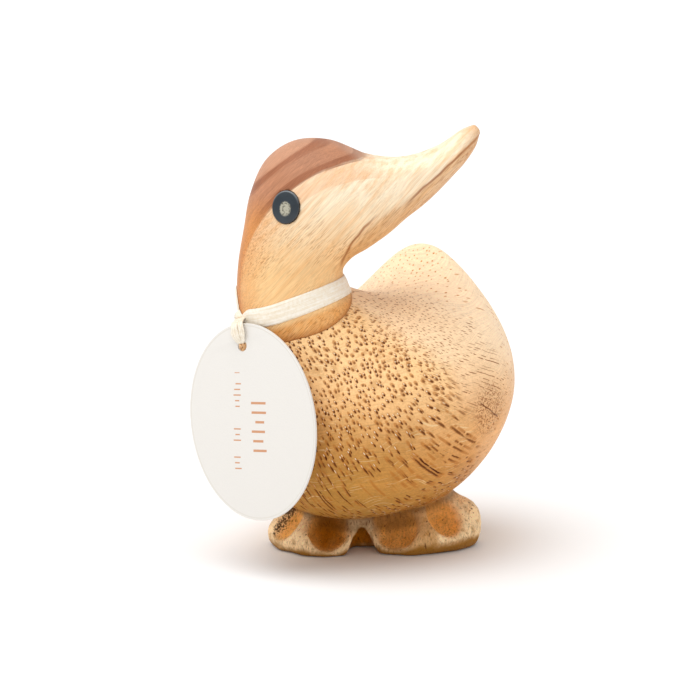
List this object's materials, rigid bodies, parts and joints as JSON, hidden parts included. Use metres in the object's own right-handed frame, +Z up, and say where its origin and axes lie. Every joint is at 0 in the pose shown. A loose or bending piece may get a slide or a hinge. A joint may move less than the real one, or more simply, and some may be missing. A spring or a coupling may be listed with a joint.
{
  "type": "wooden duck carving",
  "caption": "Carved bamboo-root and pale wood duck standing on scooped feet, head turned back over its shoulder, with a ribbon and an oval tag.",
  "frame": {"origin": "on the ground in the middle of the flat underside of the feet", "axes": "+Z up, the breast faces -Y, the tail +Y and the duck's left side is +X; the head is turned back over the left shoulder"},
  "size_m": [0.081, 0.096, 0.127],
  "materials": {
    "root_wood": "natural bamboo root, golden tan with dark pores, satin varnish",
    "head_wood": "pale close-grained wood with a brown heartwood patch, satin varnish",
    "eye_inlay": "blue-black satin inlay with a speckled grey centre",
    "satin": "cream satin ribbon",
    "card": "off-white card, matte"
  },
  "bodies": {
    "root": {"body": "root_wood", "head": "head_wood", "eye_right": "eye_inlay", "eye_left": "eye_inlay", "ribbon": "satin", "name_tag": "card"}
  },
  "joints": []
}
